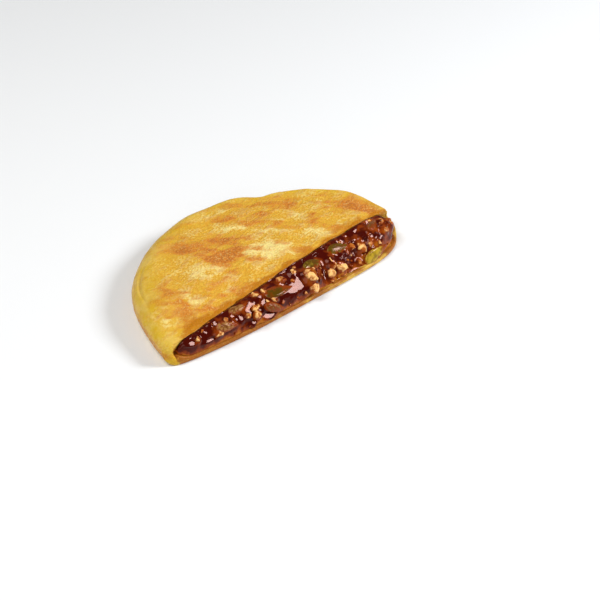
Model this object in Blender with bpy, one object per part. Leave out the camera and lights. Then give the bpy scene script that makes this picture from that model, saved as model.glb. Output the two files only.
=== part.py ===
"""Half of a hotteok, a griddled pancake of yeast dough with a syrup and nut filling, in metres.

The cut runs along X and the round side points to +Y. The dough is one pouch, open at the cut,
whose bottom crust stands out in front of the top one. The filling runs through the pouch and
swells out at the cut, where chopped peanuts, pumpkin seeds and sunflower seeds stand out of it.
"""
import math

import bmesh
import bpy
import numpy as np
from mathutils import Vector

MM = 0.001

# Plan of the half
HALF_LENGTH = 61.0 * MM
DEPTH = 54.4 * MM
LEAN = 1.3 * MM
UNEVENNESS = {2: 0.8 * MM, 3: -0.9 * MM, 4: 0.7 * MM, 6: 0.5 * MM, 8: 0.3 * MM}
NOTCH_DEPTH = 3.2 * MM
NOTCH_ANGLE = math.radians(52)
NOTCH_WIDTH = math.radians(6)
CORNER = 3.0 * MM
CORNER_POWER_LEFT = 50
CORNER_POWER_RIGHT = 200
CENTRE_Y = 22.0 * MM

# Height and rim
RIM_HEIGHT = 11.8 * MM
DOME = 1.0 * MM
DOME_REACH = 40.0 * MM
WIDEST_HEIGHT = 5.2 * MM
RIM_ROUND_LEFT = 13.0 * MM
RIM_ROUND_RIGHT = 1.6 * MM
RIM_ROUND_BOTTOM = 4.5 * MM
WAVE = 0.3 * MM

# The top crust sags at the cut, more on the left than on the right, and again at the right end
SAG = 2.0 * MM
SAG_CHANGE = 1.3 * MM
SAG_MIDDLE = -12.0 * MM
SAG_SPREAD = 20.0 * MM
SAG_REACH = 11.0 * MM
END_SAG = 1.0 * MM
END_SAG_SPREAD = 10.0 * MM

# Crusts and pouch
CRUST = 2.9 * MM
TOP_LIP = 1.3 * MM
BOTTOM_LIP = 2.0 * MM
LIP_REACH = 9.0 * MM
WALL_LEFT = 5.0 * MM
WALL_RIGHT = 2.3 * MM
WALL_POWER = 6
POUCH_EASE = 11.0 * MM
MOUTH_EASE = 5.5 * MM
MOUTH_REACH = 8.0 * MM
SLIT = 0.9 * MM
NOSE = 0.8 * MM
PINCH = 1.6 * MM
SEAM = 4.0 * MM

# The bottom crust stands out in front of the top one
SHELF = 10.5 * MM
SHELF_SLANT = 0.08
SHELF_POWER_LEFT = 3
SHELF_POWER_RIGHT = 6

# Filling
GAP = 0.3 * MM
TUCK = 0.8 * MM
END_MARGIN = 1.0 * MM
TOE_MARGIN_LEFT = 0.8 * MM
TOE_MARGIN_RIGHT = 1.6 * MM
BULGE = 0.7 * MM

# Seeds and nuts: length, width and thickness, and how pointed the narrow end is
PUMPKIN_SEED = (13.0 * MM, 7.0 * MM, 2.8 * MM, 0.55)
SUNFLOWER_SEED = (9.5 * MM, 4.9 * MM, 3.4 * MM, 0.45)
SEED_RINGS = 5
SEED_SIDES = 7

# Where the seeds lie on the open face: along the cut, across the face from 0 to 1,
# turned from the cut's direction, and tipped about their own length
PUMPKIN_SEEDS = (
    (13.0 * MM, 0.33, -8, 25),
    (-7.7 * MM, 0.42, 12, -20),
    (41.4 * MM, 0.85, 4, 12),
    (28.2 * MM, 0.30, 10, 20),
)
SUNFLOWER_SEEDS = (
    (-25.5 * MM, 0.25, 6, 0),
    (-34.7 * MM, 0.58, 14, 10),
    (48.4 * MM, 0.26, -20, 15),
    (-12.8 * MM, 0.76, 30, 0),
)

# The larger pieces of peanut: along the cut, across the face, and size
PEANUTS = (
    (7.5 * MM, 0.55, 6.4 * MM),
    (6.3 * MM, 0.83, 5.0 * MM),
    (20.6 * MM, 0.43, 5.0 * MM),
    (24.0 * MM, 0.62, 6.0 * MM),
    (18.0 * MM, 0.64, 4.6 * MM),
    (36.7 * MM, 0.48, 5.0 * MM),
    (33.3 * MM, 0.37, 3.6 * MM),
    (-16.2 * MM, 0.19, 4.4 * MM),
    (-12.6 * MM, 0.25, 3.8 * MM),
    (-3.4 * MM, 0.23, 4.6 * MM),
    (2.8 * MM, 0.22, 3.6 * MM),
    (-21.0 * MM, 0.71, 4.6 * MM),
    (-11.1 * MM, 0.56, 3.6 * MM),
    (-38.8 * MM, 0.68, 3.8 * MM),
    (55.4 * MM, 0.51, 5.2 * MM),
    (52.5 * MM, 0.32, 4.8 * MM),
    (50.7 * MM, 0.54, 4.0 * MM),
)
CRUMBS = 26
CRUMB_SIZES = (1.8 * MM, 3.2 * MM)
CRUMB_SEED = 11
NUT_CORNERS = 14
SUNK = 0.12

# Steps along the cut and around each section
SECTIONS = 58
TOP_STEPS = 13
BOTTOM_STEPS = 8
NOSE_STEPS = 4
POUCH_STEPS = 8
FRONT_STEPS = 9

TABLE_STEPS = 1500


def round_over(distance, width, power):
    """Rise from 0 at the edge to 1 at width, along a superellipse of the given power."""
    inward = 1 - np.clip(distance / width, 0, 1)
    return (1 - inward ** power) ** (1 / power)


def blend(start, stop, value):
    """Go smoothly from 0 at start to 1 at stop."""
    share = np.clip((value - start) / (stop - start), 0, 1)
    return share * share * (3 - 2 * share)


def uneven_ellipse(angle):
    """Radius of the plan without its notch, a little larger on the right."""
    radius = ((np.cos(angle) / HALF_LENGTH) ** 2 + (np.sin(angle) / DEPTH) ** 2) ** -0.5
    radius = radius + LEAN * (1 + np.cos(angle)) / 2
    for waves, height in UNEVENNESS.items():
        radius = radius + height * np.sin(waves * angle)
    return radius


def outline(angle):
    """Radius of the half's plan, with one shallow notch at the back."""
    return uneven_ellipse(angle) - NOTCH_DEPTH * np.exp(-((angle - NOTCH_ANGLE) / NOTCH_WIDTH) ** 2)


def pouch_outline(angle):
    """Radius of the pouch's plan, inside a wall that thins only towards the right end."""
    wall = WALL_LEFT - (WALL_LEFT - WALL_RIGHT) * ((1 + np.cos(angle)) / 2) ** WALL_POWER
    return uneven_ellipse(angle) - wall


def distance_inside(radius, x, y):
    """Distance of a place from the outline that has this radius, measured along the radius."""
    y = np.maximum(y, 0)
    return np.maximum(radius(np.arctan2(y, x)) - np.hypot(x, y), 0)


def plan(radius):
    """The outline from its left end to where it is widest on the right."""
    angle = np.linspace(math.pi, 0, TABLE_STEPS)
    x, y = radius(angle) * np.cos(angle), radius(angle) * np.sin(angle)
    widest = np.argmax(x) + 1
    return x[:widest], y[:widest]


def depth_at(x, radius):
    """How far behind the cut the outline lies at each x."""
    plan_x, plan_y = plan(radius)
    return np.interp(x, plan_x, plan_y, right=0)


def wave(x, y):
    """Low, uneven swells of the top."""
    u, v = x / MM, y / MM
    return WAVE * (np.sin(0.16 * u + 0.9) * np.sin(0.13 * v + 0.4) + 0.6 * np.sin(0.31 * u - 0.22 * v))


def top_height(x, y):
    """Outer surface of the top crust."""
    edge = distance_inside(outline, x, y)
    left = blend(HALF_LENGTH, -HALF_LENGTH, x)
    width = RIM_ROUND_RIGHT + (RIM_ROUND_LEFT - RIM_ROUND_RIGHT) * left
    sag = SAG - SAG_CHANGE * np.tanh((x - SAG_MIDDLE) / SAG_SPREAD)
    sag = sag + END_SAG * np.exp(-((x - HALF_LENGTH) / END_SAG_SPREAD) ** 2)
    crown = RIM_HEIGHT + DOME * np.clip(edge / DOME_REACH, 0, 1) + wave(x, y)
    crown = crown - sag * np.exp(-(np.maximum(y, 0) / SAG_REACH) ** 2)
    return WIDEST_HEIGHT + (crown - WIDEST_HEIGHT) * round_over(edge, width, 2.6)


def bottom_height(x, y):
    """Outer surface of the bottom crust: flat, and rounded up at the rim."""
    edge = distance_inside(outline, x, y)
    return WIDEST_HEIGHT * (1 - round_over(edge, RIM_ROUND_BOTTOM, 2.2))


def crust(y, lip):
    """Thickness of a crust, which thins towards the cut to that of its lip."""
    return CRUST - (CRUST - lip) * np.exp(-(np.maximum(y, 0) / LIP_REACH) ** 2)


def pouch_heights(x, y):
    """Floor and roof of the pouch, which come together at a low slit along its edge."""
    top, bottom = top_height(x, y), bottom_height(x, y)
    middle = (top + bottom) / 2
    slit = np.minimum(SLIT, 0.3 * (top - bottom)) / 2
    ease = POUCH_EASE - (POUCH_EASE - MOUTH_EASE) * np.exp(-(np.maximum(y, 0) / MOUTH_REACH) ** 2)
    inside = np.clip(distance_inside(pouch_outline, x, y) / ease, 0, 1)
    opening = np.sin(inside * math.pi / 2)
    floor = middle - slit + (bottom + crust(y, BOTTOM_LIP) - middle + slit) * opening
    roof = middle + slit + (top - crust(y, TOP_LIP) - middle - slit) * opening
    return floor, roof


def corners():
    """Plan positions of the left and right ends, where the round corners meet the outline."""
    plan_x, plan_y = plan(outline)
    left = np.argmax(plan_y > CORNER)
    return (plan_x[left], plan_y[left]), (plan_x[-1], plan_y[-1])


def along_cut(steps):
    """Places along the cut, closer together towards both ends, without the ends themselves."""
    (left, _), (right, _) = corners()
    share = (1 - np.cos(np.linspace(0, math.pi, steps + 2)[1:-1])) / 2
    return left + (right - left) * share


def front_line(x):
    """Where the top crust ends at the cut: straight, and curved back at both corners."""
    (left_x, left_y), (right_x, right_y) = corners()
    return np.where(x < 0, left_y * np.abs(x / left_x) ** CORNER_POWER_LEFT,
                    right_y * np.abs(x / right_x) ** CORNER_POWER_RIGHT)


def past_pouch(x):
    """How far x lies past the nearer end of the pouch: negative inside it."""
    pouch_x = plan(pouch_outline)[0]
    return np.maximum(pouch_x[0] - x, x - pouch_x[-1])


def shelf(x):
    """How far the bottom crust stands out in front of the cut."""
    power = np.where(x < 0, SHELF_POWER_LEFT, SHELF_POWER_RIGHT)
    taper = np.maximum(1 - np.abs(x / (HALF_LENGTH + LEAN * (x > 0))) ** power, 0)
    return (SHELF + SHELF_SLANT * x) * taper ** 0.6


def pouch_depth(x):
    """Where the pouch ends behind the cut at each x."""
    return np.maximum(depth_at(x, pouch_outline), front_line(x) + NOSE + 0.2 * MM)


def dough_loops(x):
    """Closed loops around the dough at each x: top, rim, bottom, bottom lip, pouch, top lip."""
    x = x[:, None]
    back = depth_at(x, outline)
    line = front_line(x)
    nose = np.minimum(NOSE, 0.3 * (back - line))
    lip = line + nose
    toe = lip - shelf(x)

    share = np.linspace(0, 1, TOP_STEPS + 1)[None, :-1]
    top_y = back - (back - lip) * (1 - share) ** 1.7
    share = np.linspace(0, 1, BOTTOM_STEPS + 1)[None, :]
    bottom_y = back + (toe - back) * share ** 1.8
    outside = [(top_y, top_height(x, top_y)), (bottom_y, bottom_height(x, bottom_y))]

    top, bottom = top_height(x, lip), bottom_height(x, lip)
    floor, roof = pouch_heights(x, line)
    turn = np.linspace(0, math.pi, NOSE_STEPS + 2)[None, 1:-1]
    share = np.linspace(0, 1, POUCH_STEPS)[None, :]
    pouch = pouch_depth(x)
    floor_y = toe + (pouch - toe) * (1 - (1 - share) ** 1.7)
    roof_y = pouch + (lip - pouch) * share ** 1.7
    opened = [
        (toe - nose * np.sin(turn), (bottom + floor) / 2 - (floor - bottom) / 2 * np.cos(turn)),
        (floor_y, pouch_heights(x, floor_y)[0]),
        (roof_y, pouch_heights(x, roof_y)[1]),
        (lip - nose * np.sin(turn), (top + roof) / 2 - (top - roof) / 2 * np.cos(turn)),
    ]

    steps = 2 * (NOSE_STEPS + POUCH_STEPS)
    turn = math.pi * (np.arange(steps)[None, :] + 1) / (steps + 1)
    rise = (1 - np.cos(turn)) / 2
    apart = blend(SEAM, 0, past_pouch(x))
    inward = rise + (blend(0.35, 0.65, rise) - rise) * apart
    bulge = np.sin(turn) + (np.abs(np.sin(2 * turn)) - np.sin(turn)) * apart
    closed_z = bottom + (top - bottom) * rise
    closed_y = toe + (lip - toe) * inward - nose * bulge

    share = blend(PINCH, 0, past_pouch(x))
    opened_y = np.concatenate([np.broadcast_to(y, (len(x), y.shape[1])) for y, z in opened], axis=1)
    opened_z = np.concatenate([np.broadcast_to(z, (len(x), z.shape[1])) for y, z in opened], axis=1)
    front = (closed_y + (opened_y - closed_y) * share, closed_z + (opened_z - closed_z) * share)

    y = np.concatenate([part[0] for part in outside] + [front[0]], axis=1)
    z = np.concatenate([part[1] for part in outside] + [front[1]], axis=1)
    return np.stack([np.broadcast_to(x, y.shape), y, z], axis=-1)


def toe_line(x):
    """How far the filling reaches out over the bottom crust."""
    reach = shelf(x) - TOE_MARGIN_LEFT - (TOE_MARGIN_RIGHT - TOE_MARGIN_LEFT) * blend(0, 20 * MM, x)
    return reach * round_over(-past_pouch(x), 6 * MM, 2)


def film(x):
    """Where the filling thins out into a low film in front: 1 there, 0 elsewhere."""
    return blend(8 * MM, 18 * MM, x) * blend(46 * MM, 36 * MM, x)


def filling_front(x, across):
    """The filling's open face: across runs from 0 under the top lip to 1 at the toe."""
    line = front_line(x)
    floor, roof = pouch_heights(x, line)
    floor, roof = floor + GAP, roof - GAP
    turn = across * math.pi / 2
    y = line + TUCK - (toe_line(x) + TUCK) * np.sin(turn) ** 1.1
    z = floor + (roof - floor) * np.cos(turn) ** (0.9 + 1.2 * film(x))
    z = z + BULGE * (1 - film(x)) * np.sin(2 * turn) ** 2
    return y, z


def filling_loops(x):
    """Closed loops around the filling at each x: its face, then back along floor and roof."""
    x = x[:, None]
    share = np.linspace(0, 1, FRONT_STEPS + 1)[None, :]
    front_y, front_z = filling_front(x, share)
    start, toe = front_y[:, :1], front_y[:, -1:]
    back = pouch_depth(x) - END_MARGIN
    share = np.linspace(0, 1, POUCH_STEPS + 1)[None, 1:]
    floor_y = toe + (back - toe) * (1 - (1 - share) ** 1.7)
    roof_y = back + (start - back) * share[:, :-1] ** 1.7
    floor_z = pouch_heights(x, floor_y)[0] + GAP
    roof_z = pouch_heights(x, roof_y)[1] - GAP
    y = np.concatenate([front_y, floor_y, roof_y], axis=1)
    z = np.concatenate([front_z, floor_z, roof_z], axis=1)
    return np.stack([np.broadcast_to(x, y.shape), y, z], axis=-1)


def face_frame(x, across):
    """A place on the filling's open face, with its directions along, across and outwards."""
    step = 0.02
    places = []
    for dx, da in ((0, 0), (step * 10 * MM, 0), (0, step)):
        across_here = min(max(across, 0.02), 0.96) + da
        y, z = filling_front(np.array(x + dx), np.array(across_here))
        places.append(Vector((x + dx, float(y), float(z))))
    along = (places[1] - places[0]).normalized()
    outwards = (places[2] - places[0]).cross(along).normalized()
    return places[0], along, along.cross(outwards).normalized(), outwards


def seed_points(length, width, thickness, taper):
    """Rings of a flat seed that is round at one end and drawn to a point at the other."""
    points = [(-length / 2, 0, 0), (length / 2, 0, 0)]
    for ring in range(SEED_RINGS):
        share = -math.cos(math.pi * (ring + 1) / (SEED_RINGS + 1))
        girth = math.sqrt(1 - share * share) * (1 - taper * share) / (1 + 0.4 * taper)
        for side in range(SEED_SIDES):
            turn = 2 * math.pi * side / SEED_SIDES
            points.append((share * length / 2, girth * width / 2 * math.cos(turn),
                           girth * thickness / 2 * math.sin(turn)))
    return points


def nut_points(size, random):
    """Corners of a chopped nut: spread round a sphere, pushed in and out, and flattened."""
    points = []
    for corner in range(NUT_CORNERS):
        height = 1 - 2 * (corner + 0.5) / NUT_CORNERS
        turn = corner * math.pi * (3 - math.sqrt(5))
        radius = size / 2 * random.uniform(0.82, 1.06)
        girth = math.sqrt(1 - height * height)
        points.append((radius * girth * math.cos(turn), radius * girth * math.sin(turn) * 0.85,
                       radius * height * 0.8))
    return points


def laid_on_face(points, x, across, turn, tip, lift):
    """Turn and tip a piece, and lay it on the open face, raised by lift along the normal."""
    place, along, down, outwards = face_frame(x, across)
    turned = along * math.cos(turn) + down * math.sin(turn)
    sideways = outwards.cross(turned)
    tipped = sideways * math.cos(tip) + outwards * math.sin(tip)
    upright = turned.cross(tipped)
    place = place + outwards * lift
    return np.array([place + turned * a + tipped * b + upright * c for a, b, c in points])


def kept_clear(points):
    """Flatten a piece where it would meet the dough: on the bottom crust or at the top lip."""
    x, y = points[:, 0], points[:, 1]
    floor = pouch_heights(x, y)[0].max() + GAP
    points[:, 2] = np.maximum(points[:, 2], floor)
    line = front_line(x).min() - GAP
    roof = pouch_heights(x, front_line(x))[1].min() - GAP
    hidden = (y > line) & (points[:, 2] > roof)
    if hidden.any():
        under, before = points.copy(), points.copy()
        under[:, 2] = np.minimum(under[:, 2], roof)
        before[:, 1] = np.minimum(before[:, 1], line)
        nearer = np.abs(under - points).sum() < np.abs(before - points).sum()
        points = under if nearer else before
    return points


def pieces():
    """Name and corners of every seed and nut, laid on the open face of the filling."""
    random = np.random.default_rng(CRUMB_SEED)
    laid = []
    for name, size, places in (("pumpkin_seed", PUMPKIN_SEED, PUMPKIN_SEEDS),
                               ("sunflower_seed", SUNFLOWER_SEED, SUNFLOWER_SEEDS)):
        for x, across, turn, tip in places:
            points = seed_points(*size)
            lift = SUNK * size[2]
            laid.append((name, laid_on_face(points, x, across, math.radians(turn), math.radians(tip), lift)))
    nuts = list(PEANUTS)
    for crumb in range(CRUMBS):
        x = (-48 + 105 * (crumb + random.uniform(0, 1)) / CRUMBS) * MM
        nuts.append((x, random.uniform(0.1, 0.85), random.uniform(*CRUMB_SIZES)))
    for x, across, size in nuts:
        points = nut_points(size, random)
        turn, tip = random.uniform(0, 2 * math.pi), random.uniform(-0.5, 0.5)
        laid.append(("peanut", laid_on_face(points, x, across, turn, tip, SUNK * size)))
    return [(name, kept_clear(points)) for name, points in laid]


def closed_mesh(name, loops, ends):
    """Join equal loops in a row into one closed skin, brought to a point at both ends."""
    count, steps = loops.shape[:2]
    points = np.concatenate([loops.reshape(-1, 3), np.array(ends)])
    faces = []
    for row in range(count - 1):
        for step in range(steps):
            after = (step + 1) % steps
            faces.append((row * steps + step, row * steps + after,
                          (row + 1) * steps + after, (row + 1) * steps + step))
    first, last = count * steps, count * steps + 1
    for step in range(steps):
        after = (step + 1) % steps
        faces.append((first, after, step))
        faces.append((last, (count - 1) * steps + step, (count - 1) * steps + after))
    mesh = bpy.data.meshes.new(name)
    mesh.from_pydata([tuple(point) for point in points], [], faces)
    return mesh


def finish_mesh(mesh):
    """Triangulate, face every triangle outwards and shade the skin smooth."""
    shape = bmesh.new()
    shape.from_mesh(mesh)
    bmesh.ops.triangulate(shape, faces=shape.faces)
    bmesh.ops.recalc_face_normals(shape, faces=shape.faces)
    if shape.calc_volume(signed=True) < 0:
        bmesh.ops.reverse_faces(shape, faces=shape.faces)
    for face in shape.faces:
        face.smooth = True
    shape.to_mesh(mesh)
    shape.free()


def material(name, colour, roughness):
    """A plain surface of one colour."""
    made = bpy.data.materials.new(name)
    made.use_nodes = True
    surface = made.node_tree.nodes["Principled BSDF"]
    surface.inputs["Base Color"].default_value = (*colour, 1)
    surface.inputs["Roughness"].default_value = roughness
    return made


def add_object(name, mesh, surface):
    """Link a mesh to the scene, moved so that the origin lies under the middle of the half."""
    made = bpy.data.objects.new(name, mesh)
    made.location = (0, -CENTRE_Y, 0)
    mesh.materials.append(surface)
    bpy.context.scene.collection.objects.link(made)
    return made


def add_dough():
    x = along_cut(SECTIONS)
    ends = [(*corner, WIDEST_HEIGHT) for corner in corners()]
    mesh = closed_mesh("dough", dough_loops(x), ends)
    finish_mesh(mesh)
    return add_object("dough", mesh, material("griddled_dough", (0.80, 0.46, 0.06), 0.45))


def hull(name, points):
    """Wrap corners in one convex skin."""
    shape = bmesh.new()
    for point in points:
        shape.verts.new(point)
    made = bmesh.ops.convex_hull(shape, input=shape.verts)
    inner = [item for item in made["geom_interior"] if isinstance(item, bmesh.types.BMVert)]
    bmesh.ops.delete(shape, geom=inner, context="VERTS")
    mesh = bpy.data.meshes.new(name)
    shape.to_mesh(mesh)
    shape.free()
    return mesh


def fuse(core, extras):
    """Join the extra objects to the core in one union, and remove them."""
    group = bpy.data.collections.new("fused_pieces")
    bpy.context.scene.collection.children.link(group)
    for extra in extras:
        bpy.context.scene.collection.objects.unlink(extra)
        group.objects.link(extra)
    union = core.modifiers.new("union", "BOOLEAN")
    union.operation = "UNION"
    union.operand_type = "COLLECTION"
    union.collection = group
    union.solver = "EXACT"
    bpy.context.view_layer.objects.active = core
    bpy.ops.object.modifier_apply(modifier=union.name)
    for extra in extras:
        bpy.data.objects.remove(extra, do_unlink=True)
    bpy.data.collections.remove(group)


def add_filling():
    x = along_cut(SECTIONS)
    x = x[past_pouch(x) < -END_MARGIN]
    loops = filling_loops(x)
    ends = [loops[0].mean(axis=0) - (GAP, 0, 0), loops[-1].mean(axis=0) + (GAP, 0, 0)]
    mesh = closed_mesh("filling", loops, ends)
    finish_mesh(mesh)
    syrup = material("dark_syrup", (0.10, 0.012, 0.004), 0.15)
    filling = add_object("filling", mesh, syrup)
    fuse(filling, [add_object(name, hull(name, points), syrup) for name, points in pieces()])
    finish_mesh(filling.data)
    return filling


def main():
    for old in list(bpy.data.objects):
        bpy.data.objects.remove(old, do_unlink=True)
    add_dough()
    add_filling()


if __name__ == "__main__":
    main()
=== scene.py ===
"""Half of a hotteok: griddled crust, syrup, chopped peanuts and seeds, with a plain stage."""
import math

import bpy
import numpy as np
from mathutils import Matrix, Vector


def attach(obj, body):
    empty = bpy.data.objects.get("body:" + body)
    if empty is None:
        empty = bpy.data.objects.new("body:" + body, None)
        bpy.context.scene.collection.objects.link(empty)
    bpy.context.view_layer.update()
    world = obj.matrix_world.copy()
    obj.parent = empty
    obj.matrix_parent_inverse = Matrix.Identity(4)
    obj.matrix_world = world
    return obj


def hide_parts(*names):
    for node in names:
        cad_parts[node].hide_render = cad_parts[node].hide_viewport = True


bl_info = {
    "name": "Hotteok half",
    "version": (1, 0, 0),
    "blender": (4, 5, 0),
    "location": "View3D > Sidebar > Hotteok",
    "description": "Builds the looks of a cut, filled griddle pancake around its solid model",
    "category": "Add Mesh",
}

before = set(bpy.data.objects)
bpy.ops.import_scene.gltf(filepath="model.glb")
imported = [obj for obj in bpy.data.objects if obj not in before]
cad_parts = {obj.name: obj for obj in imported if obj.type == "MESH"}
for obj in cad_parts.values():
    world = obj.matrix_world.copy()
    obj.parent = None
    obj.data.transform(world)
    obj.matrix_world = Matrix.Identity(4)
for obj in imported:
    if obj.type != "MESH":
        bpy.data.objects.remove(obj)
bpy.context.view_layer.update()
MM = 0.001

# Plan of the half, as in its solid model
HALF_LENGTH = 61 * MM
DEPTH = 54.4 * MM
LEAN = 1.3 * MM
UNEVENNESS = {2: 0.8 * MM, 3: -0.9 * MM, 4: 0.7 * MM, 6: 0.5 * MM, 8: 0.3 * MM}
NOTCH_DEPTH = 3.2 * MM
NOTCH_ANGLE = math.radians(52)
NOTCH_WIDTH = math.radians(6)
CORNER = 3 * MM
CORNER_POWER_LEFT = 50
CORNER_POWER_RIGHT = 200
CENTRE_Y = 22 * MM

# Height and rim
RIM_HEIGHT = 11.8 * MM
DOME = 1 * MM
DOME_REACH = 40 * MM
WIDEST_HEIGHT = 5.2 * MM
RIM_ROUND_LEFT = 13 * MM
RIM_ROUND_RIGHT = 1.6 * MM
RIM_ROUND_BOTTOM = 4.5 * MM
RIM_POWER = 2.6
BOTTOM_POWER = 2.2

# Low waves of the top: height, turns in radians for each millimetre, and where they start
WAVE = 0.3 * MM
WAVE_TURNS = (0.16, 0.13)
WAVE_STARTS = (0.9, 0.4)
SLANTED_WAVE = 0.6
SLANTED_TURNS = (0.31, -0.22)

# Sag of the top crust at the cut, and again at the right end
SAG = 2 * MM
SAG_CHANGE = 1.3 * MM
SAG_MIDDLE = -12 * MM
SAG_SPREAD = 20 * MM
SAG_REACH = 11 * MM
END_SAG = 1 * MM
END_SAG_SPREAD = 10 * MM

# Crusts and pouch
CRUST = 2.9 * MM
TOP_LIP = 1.3 * MM
BOTTOM_LIP = 2 * MM
LIP_REACH = 9 * MM
WALL_LEFT = 5 * MM
WALL_RIGHT = 2.3 * MM
WALL_POWER = 6
POUCH_EASE = 11 * MM
MOUTH_EASE = 5.5 * MM
MOUTH_REACH = 8 * MM
POUCH_MARGIN = 0.2 * MM
SLIT = 0.9 * MM
SLIT_SHARE = 0.3
NOSE = 0.8 * MM
NOSE_SHARE = 0.3
PINCH = 1.6 * MM
SEAM = 4 * MM
SEAM_BAND = (0.35, 0.65)
SHELF = 10.5 * MM
SHELF_SLANT = 0.08
SHELF_POWER_LEFT = 3
SHELF_POWER_RIGHT = 6
SHELF_TAPER = 0.6

# Filling
CLEARANCE = 0.3 * MM
GAP = 0.06 * MM
TUCK = 0.8 * MM
SYRUP_TUCK = 0.1 * MM
SYRUP_END = 0.4 * MM
TOE_MARGIN_LEFT = 0.8 * MM
TOE_MARGIN_RIGHT = 1.6 * MM
TOE_CHANGE = (0, 20 * MM)
TOE_ROUND = 6 * MM
BULGE = 0.7 * MM
FILM_STARTS = (8 * MM, 18 * MM)
FILM_ENDS = (46 * MM, 36 * MM)
FACE_POWER_Y = 1.1
FACE_POWER_Z = 0.9
FILM_POWER = 1.2
FACE_STEPS = (0.2 * MM, 0.02)
FACE_RANGE = (0.02, 0.96)

# Seeds, as in the solid model: length, width, thickness and taper, then groove and roughness, then where
# they lie: millimetres along the cut, across the face, turned, tipped, and tone from fresh to soaked
SEEDS = {
    "pumpkin": ((13 * MM, 7 * MM, 2.8 * MM, 0.55), 0.10, 0.10, (
        (13.0, 0.33, -8, 25, 0.75),
        (-7.7, 0.42, 12, -20, 1.0),
        (41.4, 0.85, 4, 12, 0.30),
        (28.2, 0.30, 10, 20, 0.8),
    )),
    "sunflower": ((9.5 * MM, 4.9 * MM, 3.4 * MM, 0.45), 0.0, 0.24, (
        (-25.5, 0.25, 6, 0, 0.3),
        (-34.7, 0.58, 14, 10, 0.4),
        (48.4, 0.26, -20, 15, 0.9),
        (-12.8, 0.76, 30, 0, 0.8),
    )),
}
SEED_ROWS = 34
SEED_SIDES = 40
TAPER_SHARE = 0.4
SEED_SIDE_POWER = 0.9
SEED_HEIGHT_POWER = 0.8
GROOVE_PLACE = 0.62
GROOVE_WIDTH = 0.16
SEED_NOISE = 1.8 * MM

# The larger pieces of peanut: along the cut, across the face, size in millimetres, and tone
PEANUTS = (
    (7.5, 0.55, 6.4, 0.1),
    (6.3, 0.83, 5.0, 0.45),
    (20.6, 0.43, 5.0, 0.3),
    (24.0, 0.62, 6.0, 0.05),
    (18.0, 0.64, 4.6, 0.1),
    (36.7, 0.48, 5.0, 0.5),
    (33.3, 0.37, 3.6, 0.8),
    (-16.2, 0.19, 4.4, 0.6),
    (-12.6, 0.25, 3.8, 0.55),
    (-3.4, 0.23, 4.6, 0.7),
    (2.8, 0.22, 3.6, 0.5),
    (-21.0, 0.71, 4.6, 0.45),
    (-11.1, 0.56, 3.6, 0.35),
    (-38.8, 0.68, 3.8, 0.5),
    (55.4, 0.51, 5.2, 0.8),
    (52.5, 0.32, 4.8, 0.75),
    (50.7, 0.54, 4.0, 0.6),
)

# A nut: its proportions, its planes and their distances, tip, noise, and rings and sides
NUT_SHAPE = np.array([1, 0.85, 0.8])
NUT_CORNERS = 14
NUT_RADII = (0.82, 1.06)
NUT_TIP = 0.5
NUT_RADIUS = 0.86
NUT_UNEVENNESS = 2.6
NUT_LARGEST = 1.02
NUT_NOISE = 1.3 * MM
NUT_ROUGH = 0.13
NUT_SEED = 100
NUT_SHARPNESS = 70
NUT_FINENESS = (26, 36)
LEAST_FACING = 0.05
SUNK = 0.12

# Crumbs as in the solid model, and finer ones that are fresher at the right; places are a start
# and a span in millimetres, and CRUMB_TONES a least tone, a step and a range
CRUMBS = 26
CRUMB_PLACES = (-48, 105)
CRUMB_ACROSS = (0.1, 0.85)
CRUMB_SIZES = (1.8 * MM, 3.2 * MM)
CRUMB_TONES = (0.3, 0.618, 0.7)
CRUMB_SEED = 11
FINE_CRUMBS = 170
FINE_PLACES = (-43, 101.5)
FINE_CROWDING = 0.62
FINE_ACROSS = (0.06, 0.93)
FINE_SIZES = (0.8 * MM, 2 * MM)
FINE_TIP = 0.8
FINE_TONES = (0.6, 1.2)
FINE_RADII = (0.4, 1.0)
FINE_SUNK = 0.1
FINE_SEED = 23
FINE_NOISE_SEED = 300
FINE_FINENESS = (7, 9)
FRESHER = 0.3
FRESHER_PLACES = (30 * MM, 44 * MM)

# Smooth pools of syrup: along the cut, across the face, half-length and half-width in millimetres
POOLS = (
    (-0.3, 0.57, 5.4, 3.4),
    (-21.2, 0.46, 3.8, 3.6),
    (-43.0, 0.74, 3.6, 0.9),
    (-50.3, 0.52, 3.0, 1.1),
    (-15.6, 0.50, 2.4, 1.5),
    (-15.5, 0.90, 4.4, 2.0),
    (-23.0, 0.86, 1.8, 1.2),
    (43.9, 0.47, 1.7, 1.1),
    (-27.5, 0.58, 1.5, 1.9),
    (-10.0, 0.33, 2.0, 1.3),
    (-4.0, 0.36, 1.9, 1.2),
    (31.1, 0.22, 1.4, 1.2),
    (-29.5, 0.36, 1.7, 1.1),
    (40.2, 0.40, 1.1, 0.7),
    (32.7, 0.47, 1.2, 0.9),
    (48.0, 0.12, 1.8, 0.9),
    (-37.5, 0.30, 1.5, 0.8),
    (1.5, 0.08, 3.2, 0.45),
    (10.5, 0.12, 1.0, 0.5),
    (17.5, 0.14, 1.6, 0.45),
    (22.5, 0.10, 1.3, 0.5),
    (36.4, 0.60, 1.3, 0.5),
    (42.0, 0.62, 1.1, 0.5),
    (46.3, 0.28, 1.3, 0.5),
    (47.2, 0.62, 1.6, 0.5),
    (50.5, 0.36, 2.0, 0.6),
    (53.6, 0.30, 1.2, 0.6),
    (55.8, 0.52, 1.1, 0.7),
)

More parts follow.
